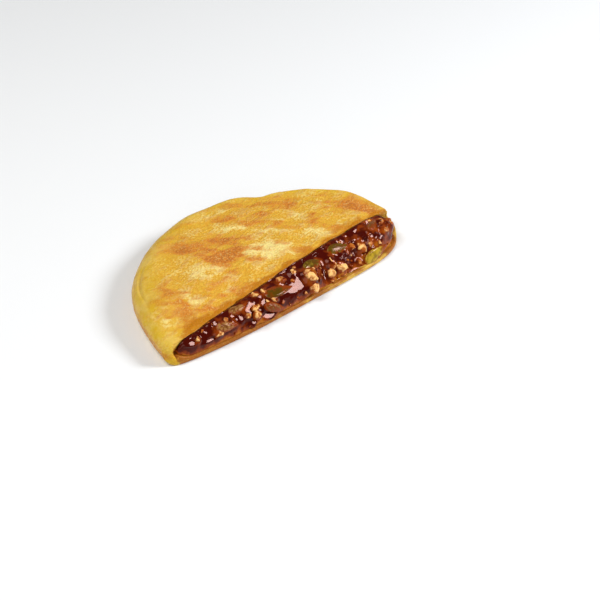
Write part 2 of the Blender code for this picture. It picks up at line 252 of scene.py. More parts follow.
# How pools face, less to the right with each metre along, and how they rise, ripple and end
POOL_FACING = (-1.0, -0.7, 0.72)
POOL_SLOPE = 0.3
POOL_RISE = 0.25 * MM
POOL_RIPPLES = 0.4
POOL_EDGE = (0.6, 0.8)
POOL_POWER = 4
POOL_DEPTH = 0.75

# Relief of the syrup: mounds round the nuts and what they cover, small ripples' share, sharp curls at
# the right, the face's edges and ends, and its climb up the lip
MOUND_REACH = 1.15
MOUND_POWER = 3
MOUND_OVERLAP = 0.25
SEED_MOUND = 0.6
COVER_REACH = 1.45
COVER_TONE = 0.6
SMALL_RIPPLES = 0.25
CURLS_ALONG = (16 * MM, 30 * MM)
CURLS_ACROSS = (0.62, 0.4)
EDGE_POWER = 0.6
END_EASE = 4 * MM
MENISCUS_REACH = 1.6 * MM
POOL_MENISCUS = 0.8
UNDER_LIP = 0.4 * MM

# How much thinner the syrup looks at the right and over the nuts, and how high a nut is darkened, as soaked
# by syrup and as painted shade on its lower sides
CLEARER = 0.3
CLEARER_PLACES = (24 * MM, 42 * MM)
COVER_CLEARER = 0.65
SOAK_AND_SHADE_HEIGHT = 0.3
SOAK_AND_SHADE_FADE = 0.9

# Fineness of the new skins, and how they crowd towards the rim
SECTIONS = 430
SYRUP_SECTIONS = 490
TOP_STEPS = 84
BOTTOM_STEPS = 34
NOSE_STEPS = 10
POUCH_STEPS = 16
FRONT_STEPS = 110
TABLE_STEPS = 4000
CROWDING = 1.7
BOTTOM_CROWDING = 1.8

# Noises by name: size in millimetres, seed and number of octaves
NOISES = {
    "dimples": (7.0, 3, 3),
    "grain": (1.6, 9, 2),
    "worn_lip": (5.0, 91, 3),
    "lip_width": (9.0, 61, 2),
    "streaks": (3.6, 31, 4),
    "clouds": (14.0, 41, 3),
    "warp_x": (6.0, 71, 4),
    "warp_y": (6.0, 81, 4),
    "ripples": (5.5, 51, 1),
    "small_ripples": (2.4, 53, 1),
    "curls": (2.5, 57, 1),
    "pool_edge": (2.4, 59, 2),
}

# Relief of the crust: its start above the flat bottom, the crease at the left rim, and the worn lip
RELIEF_START = 1.5 * MM
CREASE_ANGLE = 2.45
CREASE_SPREAD = 0.17
CREASE_INSET = 3.2 * MM
CREASE_BEND = 9 * MM
CREASE_BEND_ANGLE = 2.42
CREASE_WIDTH = 0.55 * MM
WORN_REACH = 1.5 * MM

# Browned patches of the top: place, half-length and half-width in millimetres, and strength
BROWN_PATCHES = (
    (-9, 20, 9.7, 5.0, 1.0),
    (-14, 36, 5.0, 4.1, 0.7),
    (5, 26, 13.9, 1.5, 0.9),
    (18, 34, 5.4, 3.4, 0.7),
    (34, 30, 3.9, 2.0, 0.5),
    (35, 14, 2.3, 4.8, 0.6),
    (56, 9, 5.0, 5.4, 1.5),
    (-38, 21, 4.6, 4.1, 1.0),
    (-29, 16, 2.7, 3.4, 0.5),
    (-32, 4, 8.5, 2.0, 0.8),
    (-41, 9, 5.5, 1.8, 0.9),
    (-16, 0, 3.9, 3.4, 0.6),
    (5, 1, 3.9, 2.7, 0.6),
    (36, 0, 3.9, 2.7, 0.6),
    (30, 42, 2.5, 2.7, 0.6),
    (-2, 37, 2.3, 4.1, 0.5),
    (-16, 28, 3.9, 2.0, 0.5),
    (48, 20, 3.1, 2.0, 0.5),
)
PALE_PATCHES = (
    (-20, 21, 6.6, 5.0, 0.6),
    (4, 12, 4.6, 5.5, 1.0),
    (-19, 8, 4.2, 4.1, 0.65),
    (-35, 12, 3.1, 2.7, 0.6),
    (8, 33, 6.9, 2.0, 0.8),
    (14, 21, 3.9, 2.0, 0.7),
    (27, 10, 4.6, 2.7, 0.8),
    (31, 24, 3.9, 3.4, 0.6),
    (43, 17, 4.6, 2.0, 0.6),
    (12, 48, 4.6, 2.7, 0.5),
    (12, 10, 4.6, 2.7, 0.6),
    (-50, 12, 3.4, 5.0, 0.9),
)
PATCH_SPREAD = 1.2
GRIDDLE_TURN = math.radians(-45)
STREAK_STRETCH = 3

# Clouds of the underside: strength, and where the noise starts and ends
UNDERSIDE_BROWN = (1.1, 0.42, 0.68)
UNDERSIDE_PALE = (0.9, 0.52, 0.32)

# Bands of colour: behind the top lip, browned oily glaze with painted shade where the lip droops, along the
# rim and its griddled seam, darker along the back rim, and beside the syrup, soaked dough that is widened
# at the left end as painted shade. Powers set their fall, and places say where along the cut, or behind it,
# they widen or fade
LIP_POWER = 1.4
LIP_LEAST = 0.5
LIP_WIDER = 0.6
LIP_WIDER_PLACES = (-8 * MM, -22 * MM)
LIP_FAINT = 0.45
LIP_FAINT_PLACES = (-54 * MM, -40 * MM)
CUT_AT_NOSE = 0.8
RIM_LEAST = 0.5
RIM_SPARED = 0.8
SEAM_HEIGHT = 4 * MM
SEAM_WIDTH = 2.2 * MM
SEAM_INSET = 2 * MM
SEAM_BROWN = 0.8
BACK_DARKER = 0.4
BACK_WIDTH = 3 * MM
BACK_PLACES = (8 * MM, 25 * MM)
MOST_BROWN = 1.2
STAIN_POWER = 1.5
STAIN_AND_SHADE_WIDER = 1.6
STAIN_AND_SHADE_WIDER_PLACES = (0, -30 * MM)

# Textures: sizes, how far mottling is drawn out, and where noise turns from low to high
MOTTLE_SIZE = 2.6 * MM
MOTTLE_STRETCH = (2.6, 1, 1)
GRAIN_SIZE = 0.7 * MM
GRAIN_STRETCH = (1.4, 1, 1)
PALE_RIM_SIZE = 6 * MM
CRUST_BUMP = 0.14 * MM
SYRUP_CLOUD_SIZE = 3.5 * MM
SYRUP_BUMP_SIZE = 2.2 * MM
SYRUP_BUMP = 0.07 * MM
KERNEL_GRAIN_SIZE = 0.5 * MM
SOFT = (0.34, 0.66)

# Seeds and nuts: kind, unevenness of tone, size of its clouds, and depth of the grain
KERNELS = {
    "peanuts": ("peanut", 0.42, 1.5 * MM, 0.11 * MM),
    "pumpkin_seeds": ("pumpkin", 0.2, 1.5 * MM, 0.05 * MM),
    "sunflower_seeds": ("sunflower", 0.4, 1.1 * MM, 0.16 * MM),
}

# Lights: place, size, power and tint; all face the origin
LIGHTS = {
    "key": ((-0.35, 0.15, 0.75), 0.5, 4.1, (1, 1, 1)),
    "front": ((0.46, -0.44, 0.45), 0.27, 5.0, (0.97, 1.0, 1.05)),
    "left": ((-0.60, -0.45, 0.35), 0.5, 1.4, (1, 1, 1)),
}
WORLD_STRENGTH = 0.19
FLOOR_REACH = 3.0
FLOOR_ROUGHNESS = 0.7

# The camera's frame: image size, and where the middle of the half stands in it, in pixels
IMAGE_SIZE = 600
SHOWN_AT = (235.5, 256.0)
PIXELS_PER_METRE = 2590.0
HALF_MIDDLE = Vector((0, 3 * MM, 6 * MM))
CLIP_START = 0.01


def between(start, stop, share):
    """Straight line: start at share 0, stop at share 1."""
    return start + (stop - start) * share


def blend(start, stop, value):
    """Smooth step: 3 t^2 - 2 t^3, from 0 at start to 1 at stop."""
    share = np.clip((value - start) / (stop - start), 0, 1)
    return share * share * (3 - 2 * share)


def bell(value, width):
    """Bell curve: e to the minus square of value over width."""
    return np.exp(-(value / width) ** 2)


def round_over(distance, width, power):
    """Superellipse: 0 at the edge, 1 from width inwards."""
    inward = 1 - np.clip(distance / width, 0, 1)
    return (1 - inward ** power) ** (1 / power)


def turned(x, y, angle):
    """x and y in axes that are turned by an angle."""
    cos, sin = math.cos(angle), math.sin(angle)
    return x * cos + y * sin, y * cos - x * sin


def uneven_ellipse(angle):
    """Ellipse in polar form, plus a lean to the right and a few sine waves round it."""
    radius = ((np.cos(angle) / HALF_LENGTH) ** 2 + (np.sin(angle) / DEPTH) ** 2) ** -0.5
    radius = radius + LEAN * (1 + np.cos(angle)) / 2
    for waves, height in UNEVENNESS.items():
        radius = radius + height * np.sin(waves * angle)
    return radius


def outline(angle):
    """The uneven ellipse less a bell curve, the notch."""
    return uneven_ellipse(angle) - NOTCH_DEPTH * bell(angle - NOTCH_ANGLE, NOTCH_WIDTH)


def pouch_outline(angle):
    """The uneven ellipse less a wall that thins as a power of a cosine towards the right end."""
    return uneven_ellipse(angle) - between(WALL_LEFT, WALL_RIGHT, ((1 + np.cos(angle)) / 2) ** WALL_POWER)


def distance_inside(radius, x, y):
    """Radius of the outline in this direction, less the distance from the middle of the cut."""
    y = np.maximum(y, 0)
    return np.maximum(radius(np.arctan2(y, x)) - np.hypot(x, y), 0)


def plan(radius):
    """Points of the outline from its left end to where it is widest on the right."""
    angle = np.linspace(math.pi, 0, TABLE_STEPS)
    x, y = radius(angle) * np.cos(angle), radius(angle) * np.sin(angle)
    widest = np.argmax(x) + 1
    return x[:widest], y[:widest]


def depth_at(x, radius):
    """The outline's distance behind the cut, read between its points at each x."""
    plan_x, plan_y = plan(radius)
    return np.interp(x, plan_x, plan_y, right=0)


def wave(x, y):
    """A product of two sines, one along and one across, plus a smaller slanted sine."""
    u, v = x / MM, y / MM
    product = np.sin(WAVE_TURNS[0] * u + WAVE_STARTS[0]) * np.sin(WAVE_TURNS[1] * v + WAVE_STARTS[1])
    return WAVE * (product + SLANTED_WAVE * np.sin(SLANTED_TURNS[0] * u + SLANTED_TURNS[1] * v))


def top_height(x, y):
    """A low dome less a bell-shaped sag at the cut, rounded down to the widest height at the rim."""
    edge = distance_inside(outline, x, y)
    width = between(RIM_ROUND_RIGHT, RIM_ROUND_LEFT, blend(HALF_LENGTH, -HALF_LENGTH, x))
    sag = SAG - SAG_CHANGE * np.tanh((x - SAG_MIDDLE) / SAG_SPREAD)
    sag = sag + END_SAG * bell(x - HALF_LENGTH, END_SAG_SPREAD)
    crown = RIM_HEIGHT + DOME * np.clip(edge / DOME_REACH, 0, 1) + wave(x, y)
    crown = crown - sag * bell(np.maximum(y, 0), SAG_REACH)
    return between(WIDEST_HEIGHT, crown, round_over(edge, width, RIM_POWER))


def bottom_height(x, y):
    """Zero, rounded up to the widest height at the rim."""
    edge = distance_inside(outline, x, y)
    return WIDEST_HEIGHT * (1 - round_over(edge, RIM_ROUND_BOTTOM, BOTTOM_POWER))


def crust(y, lip):
    """Crust thickness: a bell-shaped thinning at the cut, to that of the lip."""
    return between(CRUST, lip, bell(np.maximum(y, 0), LIP_REACH))


def pouch_heights(x, y):
    """Floor and roof: a crust's thickness inside the skins, eased by a sine to a slit at the edge."""
    top, bottom = top_height(x, y), bottom_height(x, y)
    middle = (top + bottom) / 2
    slit = np.minimum(SLIT, SLIT_SHARE * (top - bottom)) / 2
    ease = between(POUCH_EASE, MOUTH_EASE, bell(np.maximum(y, 0), MOUTH_REACH))
    inside = np.clip(distance_inside(pouch_outline, x, y) / ease, 0, 1)
    opening = np.sin(inside * math.pi / 2)
    floor = between(middle - slit, bottom + crust(y, BOTTOM_LIP), opening)
    roof = between(middle + slit, top - crust(y, TOP_LIP), opening)
    return floor, roof


def corners():
    """Plan positions of the left and right ends."""
    plan_x, plan_y = plan(outline)
    left = np.argmax(plan_y > CORNER)
    return (plan_x[left], plan_y[left]), (plan_x[-1], plan_y[-1])


def along_cut(steps):
    """Places along the cut, spaced as a cosine so that they crowd at both ends."""
    (left, _), (right, _) = corners()
    return between(left, right, (1 - np.cos(np.linspace(0, math.pi, steps + 2)[1:-1])) / 2)


def front_line(x):
    """A high power of x: straight along the cut, curved back at both corners."""
    (left_x, left_y), (right_x, right_y) = corners()
    return np.where(x < 0, left_y * np.abs(x / left_x) ** CORNER_POWER_LEFT,
                    right_y * np.abs(x / right_x) ** CORNER_POWER_RIGHT)


def past_pouch(x):
    """How far x lies past the nearer end of the pouch: negative inside it."""
    pouch_x = plan(pouch_outline)[0]
    return np.maximum(pouch_x[0] - x, x - pouch_x[-1])


def shelf(x):
    """How far the bottom crust stands out: a slanted line times a superellipse."""
    power = np.where(x < 0, SHELF_POWER_LEFT, SHELF_POWER_RIGHT)
    taper = np.maximum(1 - np.abs(x / (HALF_LENGTH + LEAN * (x > 0))) ** power, 0)
    return (SHELF + SHELF_SLANT * x) * taper ** SHELF_TAPER


def pouch_depth(x):
    """Where the pouch ends behind the cut."""
    return np.maximum(depth_at(x, pouch_outline), front_line(x) + NOSE + POUCH_MARGIN)


def toe_line(x):
    """How far the filling reaches over the bottom crust, rounded off at both ends."""
    reach = shelf(x) - between(TOE_MARGIN_LEFT, TOE_MARGIN_RIGHT, blend(*TOE_CHANGE, x))
    return reach * round_over(-past_pouch(x), TOE_ROUND, 2)


def film(x):
    """1 where the filling thins out into a low film in front, 0 elsewhere."""
    return blend(*FILM_STARTS, x) * blend(*FILM_ENDS, x)


def filling_front(x, across, gap, tuck=TUCK):
    """Open face: y falls as a sine and z as a power of a cosine from the lip to the toe."""
    line = front_line(x)
    floor, roof = pouch_heights(x, line)
    turn = across * math.pi / 2
    y = line + tuck - (toe_line(x) + tuck) * np.sin(turn) ** FACE_POWER_Y
    fall = np.maximum(np.cos(turn), 0) ** (FACE_POWER_Z + FILM_POWER * film(x))
    z = between(floor + gap, roof - gap, fall) + BULGE * (1 - film(x)) * np.sin(2 * turn) ** 2
    return y, z


def lattice_noise(x, y, z, size, seed):
    """Smooth noise from 0 to 1: hashed values at the corners of cubes, blended by smooth steps."""
    cells, shares = [], []
    for value in np.broadcast_arrays(x / size, y / size, z / size):
        cell = np.floor(value)
        share = value - cell
        cells.append(cell.astype(np.int64))
        shares.append(share * share * (3 - 2 * share))
    total = 0
    for corner in range(8):
        weight, key = 1.0, np.int64(seed * 7919)
        for axis, prime in enumerate((73856093, 19349663, 83492791)):
            bit = corner >> axis & 1
            weight = weight * (shares[axis] if bit else 1 - shares[axis])
            key = key ^ (cells[axis] + bit) * prime
        key = (key ^ key >> 13) * 1274126177
        total = total + weight * ((key >> 8 & 0xFFFF) / 65535)
    return total


def fractal(x, y, z, size, seed, octaves):
    """Lattice noise summed at halved sizes and halved weights, still from 0 to 1."""
    total, weights = 0, 0
    for octave in range(octaves):
        share = 0.5 ** octave
        total = total + share * lattice_noise(x, y, z, size * share, seed + octave)
        weights += share
    return total / weights


def noise(name, x, y, z):
    """One of the named noises at these points."""
    size, seed, octaves = NOISES[name]
    return fractal(x, y, z, size * MM, seed, octaves)


def patches(x, y, places):
    """Sum of bell curves, long across the view, each at its place on the top."""
    total = 0
    for place_x, place_y, length, width, strength in places:
        a, b = turned(x / MM - place_x, y / MM - place_y, GRIDDLE_TURN)
        total = total + strength * bell(np.hypot(a / length, b / width), PATCH_SPREAD)
    return total


def grid_normals(points):
    """Outward normals of a grid of closed loops: the cross product of its two differences."""
    round_loop = np.roll(points, -1, axis=1) - np.roll(points, 1, axis=1)
    normals = np.cross(np.gradient(points, axis=0), round_loop)
    return normals / np.maximum(np.linalg.norm(normals, axis=-1, keepdims=True), 1e-12)


def loop_grid(x, parts):
    """A grid of points: x, and the parts of y and z that follow each other round the loops."""
    y, z = (np.concatenate([np.broadcast_to(part, (len(x), part.shape[1])) for part in side], axis=1)
            for side in zip(*parts))
    return np.stack([np.broadcast_to(x, y.shape), y, z], axis=-1)


def grid_mesh(name, grids, values):
    """One mesh from grids of closed loops, each brought to a point at both ends, with attributes."""
    points, faces, starts = [], [], 0
    for grid in grids:
        rows, steps = grid.shape[:2]
        ends = np.array([grid[0].mean(axis=0), grid[-1].mean(axis=0)])
        points.append(np.concatenate([grid.reshape(-1, 3), ends]))
        row, step = np.meshgrid(np.arange(rows - 1), np.arange(steps), indexing="ij")
        after = (step + 1) % steps
        quads = np.stack([row * steps + step, row * steps + after,
                          (row + 1) * steps + after, (row + 1) * steps + step], axis=-1).reshape(-1, 4)
        step = np.arange(steps)
        after = (step + 1) % steps
        first = np.stack([np.full(steps, rows * steps), after, step], axis=-1)
        last = (rows - 1) * steps
        final = np.stack([np.full(steps, rows * steps + 1), last + step, last + after], axis=-1)
        faces.append((quads + starts, np.concatenate([first, final]) + starts))
        starts += len(points[-1])
    quads, triangles = (np.concatenate(part) for part in zip(*faces))
    points = np.concatenate(points)
    points[:, 1] -= CENTRE_Y
    loops = np.concatenate([quads.ravel(), triangles.ravel()])
    mesh = bpy.data.meshes.new(name)
    mesh.vertices.add(len(points))
    mesh.vertices.foreach_set("co", points.ravel())
    mesh.loops.add(len(loops))
    mesh.loops.foreach_set("vertex_index", loops)
    mesh.polygons.add(len(quads) + len(triangles))
    starts = np.concatenate([np.arange(len(quads)) * 4, len(quads) * 4 + np.arange(len(triangles)) * 3])
    mesh.polygons.foreach_set("loop_start", starts)
    mesh.update(calc_edges=True)
    mesh.polygons.foreach_set("use_smooth", np.ones(len(mesh.polygons), dtype=bool))
    for key, parts in values.items():
        spread = []
        for grid, part in zip(grids, parts):
            part = np.broadcast_to(part, grid.shape[:2])
            spread.append(np.concatenate([part.ravel(), [part[0].mean(), part[-1].mean()]]))
        layer = mesh.attributes.new(key, "FLOAT", "POINT")
        layer.data.foreach_set("value", np.concatenate(spread).astype(np.float32))
    return mesh


def add_piece(name, mesh, material, node):
    """Link a finished piece that stands for a solid and rides with the body."""
    piece = bpy.data.objects.new(name, mesh)
    mesh.materials.append(material)
    bpy.context.scene.collection.objects.link(piece)
    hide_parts(node)
    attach(piece, "root")


def pouch_loop(toe, back, lip, out, home):
    """In along the pouch's floor and back along its roof, crowding at the far end by a power."""
    return between(toe, back, 1 - (1 - out) ** CROWDING), between(back, lip, home ** CROWDING)


def crust_loops(x):
    """Loops round the dough: top, rim, bottom, bottom lip, pouch and top lip.

    The lips' noses are half ellipses. Past the ends of the pouch the front closes, first to
    two folds that meet in a seam and then to one plain half ellipse.
    """
    x = x[:, None]
    back, line = depth_at(x, outline), front_line(x)
    nose = np.minimum(NOSE, NOSE_SHARE * (back - line))
    lip = line + nose
    toe = lip - shelf(x)
    top, bottom = top_height(x, lip), bottom_height(x, lip)
    top_y = between(back, lip, (1 - np.linspace(0, 1, TOP_STEPS + 1)[None, :-1]) ** CROWDING)
    bottom_y = between(back, toe, np.linspace(0, 1, BOTTOM_STEPS + 1)[None, :] ** BOTTOM_CROWDING)
    outside = loop_grid(x, [(top_y, top_height(x, top_y)), (bottom_y, bottom_height(x, bottom_y))])

    turn = np.linspace(0, math.pi, NOSE_STEPS + 2)[None, 1:-1]

    def round_nose(y, low, high):
        """Half an ellipse from low to high."""
        return y - nose * np.sin(turn), (low + high) / 2 - (high - low) / 2 * np.cos(turn)

    floor, roof = pouch_heights(x, line)
    share = np.linspace(0, 1, POUCH_STEPS)[None, :]
    floor_y, roof_y = pouch_loop(toe, pouch_depth(x), lip, share, share)
    opened = loop_grid(x, [
        round_nose(toe, bottom, floor),
        (floor_y, pouch_heights(x, floor_y)[0]),
        (roof_y, pouch_heights(x, roof_y)[1]),
        round_nose(lip, roof, top),
    ])
    steps = opened.shape[1]
    turn = math.pi * (np.arange(steps)[None, :] + 1) / (steps + 1)
    rise = (1 - np.cos(turn)) / 2
    apart = blend(SEAM, 0, past_pouch(x))
    inward = between(rise, blend(*SEAM_BAND, rise), apart)
    bulge = between(np.sin(turn), np.abs(np.sin(2 * turn)), apart)
    closed = loop_grid(x, [(between(toe, lip, inward) - nose * bulge, between(bottom, top, rise))])
    front = between(closed, opened, blend(PINCH, 0, past_pouch(x))[..., None])
    return np.concatenate([outside, front], axis=1)


def crust_pressed(settings, x, y, z, edge):
    """How far the skin is pressed in.

    Low dimples and fine grain are noise. The crease is a bell curve about a parabola in the
    turn round the cut's middle. The top lip is worn by noise that a bell curve keeps near it.
    """
    pressed = settings.dimples * noise("dimples", x, y, z) + settings.grain * noise("grain", x, y, z)
    angle = np.arctan2(np.maximum(y, 0), x)
    inset = CREASE_INSET + CREASE_BEND * (angle - CREASE_BEND_ANGLE) ** 2
    crease = bell(edge - inset, CREASE_WIDTH) * bell(angle - CREASE_ANGLE, CREASE_SPREAD)
    worn = noise("worn_lip", x, 0 * y, 0 * z) * bell(y - front_line(x), WORN_REACH)
    worn = worn * blend(PINCH, 0, past_pouch(x))
    return pressed + (settings.creases * crease + settings.ragged * worn) * (z > WIDEST_HEIGHT)


def crust_shape(settings):
    """The dough's pressed skin, with the shares of each colour as attributes.

    Patches wander by noise, and the underside has clouds of noise. The lip, rim, seam and
    stain are bands that fall off with distance as bell curves or powers like them.
    """
    grid = crust_loops(along_cut(SECTIONS))
    x, y, z = np.moveaxis(grid, -1, 0)
    edge, line = distance_inside(outline, x, y), front_line(x)
    opened = blend(PINCH, 0, past_pouch(x))
    top_side = z > WIDEST_HEIGHT
    outer, inner = np.zeros((2, grid.shape[1]))
    outer[:TOP_STEPS + BOTTOM_STEPS] = outer[-NOSE_STEPS:] = 1
    inner[TOP_STEPS + BOTTOM_STEPS + 1:] = 1
    inner[-NOSE_STEPS:] = np.linspace(CUT_AT_NOSE, 0, NOSE_STEPS)
    pressed = crust_pressed(settings, x, y, z, edge) * outer * blend(0, RELIEF_START, z)
    grid = grid - grid_normals(grid) * pressed[..., None]

    # The lip band is browned oily glaze behind the top lip, and painted shade where the lip droops and on
    # its rounded nose.
    width = settings.lip_glaze_and_shade_band * (LIP_LEAST + noise("lip_width", x, 0 * y, 0 * z))
    width = width * (1 + LIP_WIDER * blend(*LIP_WIDER_PLACES, x))
    lip = np.exp(-(np.maximum(y - line, 0) / width) ** LIP_POWER) * top_side * opened
    lip = lip * between(LIP_FAINT, 1, blend(*LIP_FAINT_PLACES, x))
    along, over = turned(x, y, GRIDDLE_TURN)
    streaks = noise("streaks", along / STREAK_STRETCH, over, z)
    clouds = noise("clouds", x, y, z)
    warped = (x + settings.warp * (noise("warp_x", x, y, z) - 0.5),
              y + settings.warp * (noise("warp_y", x, y, z) - 0.5))
    under_brown, under_pale = (share * blend(start, stop, clouds)
                               for share, start, stop in (UNDERSIDE_BROWN, UNDERSIDE_PALE))
    brown = np.where(top_side, patches(*warped, BROWN_PATCHES), under_brown)
    pale = np.where(top_side, patches(*warped, PALE_PATCHES), under_pale)
    left = blend(HALF_LENGTH, -HALF_LENGTH, x)
    seam = bell(z - SEAM_HEIGHT, SEAM_WIDTH) * bell(edge, SEAM_INSET)
    rim = bell(edge, settings.rim_band * (RIM_LEAST + left)) * (1 - RIM_SPARED * seam)
    rim = rim * (1 - RIM_SPARED * patches(*warped, PALE_PATCHES[-1:]))
    # The soaked dough beside the syrup is widened at the left end as painted shade of the bottom crust's
    # edge.
    width = settings.stain_band * (1 + STAIN_AND_SHADE_WIDER * blend(*STAIN_AND_SHADE_WIDER_PLACES, x))
    stain = np.exp(-(np.abs(y - line + toe_line(x)) / width) ** STAIN_POWER) * ~top_side * opened
    # A darker orange-brown band is painted along the back rim.
    back_edge = bell(edge, BACK_WIDTH) * blend(*BACK_PLACES, y)
    brown = brown + SEAM_BROWN * seam + BACK_DARKER * back_edge
    values = {
        "brown": np.clip(brown, 0, MOST_BROWN), "pale": np.clip(pale * (1 - rim), 0, 1),
        "streaks": streaks, "rim": rim, "cut": inner * opened, "lip": lip, "stain": stain,
    }
    return grid_mesh("crust", [grid], {key: [value] for key, value in values.items()})


def unit(vector):
    """The vector over its length."""
    return vector / np.linalg.norm(vector)


def face_frame(x, across):
    """A place on the open face, with its directions along, down and outwards."""
    across = min(max(across, FACE_RANGE[0]), FACE_RANGE[1])
    place, beside, below = (
        np.array([x + dx, *filling_front(x + dx, across + down, CLEARANCE)])
        for dx, down in ((0, 0), (FACE_STEPS[0], 0), (0, FACE_STEPS[1])))
    along = unit(beside - place)
    outwards = unit(np.cross(below - place, along))
    return place, along, np.cross(along, outwards), outwards


def laid_on_face(points, x, across, turn, tip, lift):
    """A piece's own axes, turned and tipped in the face's directions and raised by lift."""
    place, along, down, outwards = face_frame(x, across)
    lengthways = along * math.cos(turn) + down * math.sin(turn)
    sideways = np.cross(outwards, lengthways) * math.cos(tip) + outwards * math.sin(tip)
    return place + outwards * lift + points @ [lengthways, sideways, np.cross(lengthways, sideways)]


def kept_clear(points):
    """Flatten a piece where it would meet the dough, by its lowest floor or nearest lip."""
    x, y = points[..., 0], points[..., 1]
    floor = pouch_heights(x, y)[0].max() + GAP
    points[..., 2] = np.maximum(points[..., 2], floor)
    line = front_line(x).min() - GAP
    roof = pouch_heights(x, front_line(x))[1].min() - GAP
    if ((y > line) & (points[..., 2] > roof)).any():
        under, before = points.copy(), points.copy()
        under[..., 2] = np.minimum(under[..., 2], roof)
        before[..., 1] = np.minimum(before[..., 1], line)
        nearer = np.abs(under - points).sum() < np.abs(before - points).sum()
        points = under if nearer else before
    return points


def seed_grid(size, groove, rough, seed):
    """Teardrop rings along a cosine; each is a flat superellipse, grooved by bell curves, and rough."""
    length, width, thickness, taper = size
    share = -np.cos(math.pi * np.arange(1, SEED_ROWS) / SEED_ROWS)[:, None]
    turn = np.linspace(0, 2 * math.pi, SEED_SIDES, endpoint=False)[None, :]
    girth = np.sqrt(1 - share * share) * (1 - taper * share) / (1 + TAPER_SHARE * taper)
    cos, sin = np.cos(turn), np.sin(turn)
    side = girth * width / 2 * np.sign(cos) * np.abs(cos) ** SEED_SIDE_POWER
    dent = 1 - groove * bell(np.abs(cos) - GROOVE_PLACE, GROOVE_WIDTH)
    up = girth ** SEED_HEIGHT_POWER * thickness / 2 * sin * dent
    x = np.broadcast_to(share * length / 2, side.shape)
    worn = 1 - rough * fractal(x + seed, side, up, SEED_NOISE, seed, 3)
    return np.stack([x, side * worn, up * worn], axis=-1)


def nut_grid(size, radii, seed, fineness):
    """A polyhedron: in each direction the soft minimum of the distances to its planes, made rough.

    The planes face points that a golden turn spreads evenly over a sphere.
    """
    corner = np.arange(NUT_CORNERS)
    height = 1 - 2 * (corner + 0.5) / NUT_CORNERS
    turn = corner * math.pi * (3 - math.sqrt(5))
    girth = np.sqrt(1 - height * height)
    planes = np.stack([girth * np.cos(turn), girth * np.sin(turn), height], axis=-1)
    rows, sides = fineness
    tilt = math.pi * np.arange(1, rows)[:, None] / rows
    turn = np.linspace(0, 2 * math.pi, sides, endpoint=False)[None, :]
    ways = [np.cos(tilt) + 0 * turn, np.sin(tilt) * np.cos(turn), np.sin(tilt) * np.sin(turn)]
    ways = np.stack(ways, axis=-1)
    distance = radii / np.maximum(ways @ planes.T, LEAST_FACING)
    radius = np.sum(distance ** -NUT_SHARPNESS, axis=-1, keepdims=True) ** (-1 / NUT_SHARPNESS)
    skin = ways * radius * size / 2 * NUT_SHAPE
    rough = fractal(*np.moveaxis(skin, -1, 0), NUT_NOISE, seed, 2) - 0.5
    return skin * (1 + NUT_ROUGH * rough[..., None])


def laid_pieces():
    """Every seed and nut with its kind, place, size, skin and tone, drawn as in the solid model."""
    random = np.random.default_rng(CRUMB_SEED)
    laid = []
    for kind, (size, groove, rough, places) in SEEDS.items():
        for number, (x, across, turn, tip, tone) in enumerate(places):
            x, turn = x * MM, math.radians(turn)
            skin = seed_grid(size, groove, rough, number + 1)
            skin = laid_on_face(skin, x, across, turn, math.radians(tip), SUNK * size[2])
            laid.append((kind, x, across, turn, size[:3], kept_clear(skin), tone))
    nuts = [(x * MM, across, size * MM, tone) for x, across, size, tone in PEANUTS]
    start, span = CRUMB_PLACES
    for crumb in range(CRUMBS):
        x = (start + span * (crumb + random.uniform(0, 1)) / CRUMBS) * MM
        across, size = random.uniform(*CRUMB_ACROSS), random.uniform(*CRUMB_SIZES)
        least, step, most = CRUMB_TONES
        nuts.append((x, across, size, least + crumb * step % most))
    for x, across, size, tone in nuts:
        radii = np.array([random.uniform(*NUT_RADII) for corner in range(NUT_CORNERS)])
        turn, tip = random.uniform(0, 2 * math.pi), random.uniform(-NUT_TIP, NUT_TIP)
        radii = np.minimum(NUT_RADIUS + (radii - np.mean(NUT_RADII)) * NUT_UNEVENNESS, NUT_LARGEST)
        skin = nut_grid(size, radii, NUT_SEED + len(laid), NUT_FINENESS)
        skin = laid_on_face(skin, x, across, turn, tip, SUNK * size)
        laid.append(("peanut", x, across, turn, size * NUT_SHAPE, kept_clear(skin), tone))
    return laid


def pool_places():
    """Each pool's place along the cut, its frame on the open face, and its half-length and half-width."""
    return [(x * MM, face_frame(x * MM, across), half_length * MM, half_width * MM)
            for x, across, half_length, half_width in POOLS]


def pool_spread(points, pool):
    """Distance of points from a pool's middle, as a share of its half-length and half-width."""
    x, (place, along, down, outwards), half_length, half_width = pool
    offset = points - place
    return np.hypot(offset @ along / half_length, offset @ down / half_width)


def fine_crumbs():
    """Small soaked crumbs outside the pools, closer together towards the right."""
    random = np.random.default_rng(FINE_SEED)
    pools = pool_places()
    start, span = FINE_PLACES
    laid = []
    for crumb in range(FINE_CRUMBS):
        share = (crumb + random.uniform(0, 1)) / FINE_CRUMBS
        x = (start + span * share ** FINE_CROWDING) * MM
        across, size = random.uniform(*FINE_ACROSS), random.uniform(*FINE_SIZES)
        turn, tip = random.uniform(0, 2 * math.pi), random.uniform(-FINE_TIP, FINE_TIP)
        tone = random.uniform(*FINE_TONES) - FRESHER * blend(*FRESHER_PLACES, x)
        radii = random.uniform(*FINE_RADII, NUT_CORNERS)
        skin = nut_grid(size, radii, FINE_NOISE_SEED + crumb, FINE_FINENESS)
        skin = laid_on_face(skin, x, across, turn, tip, FINE_SUNK * size)
        if min(pool_spread(skin, pool).min() for pool in pools) >= 1:
            laid.append(("peanut", x, across, turn, size * NUT_SHAPE, kept_clear(skin), tone))
    return laid


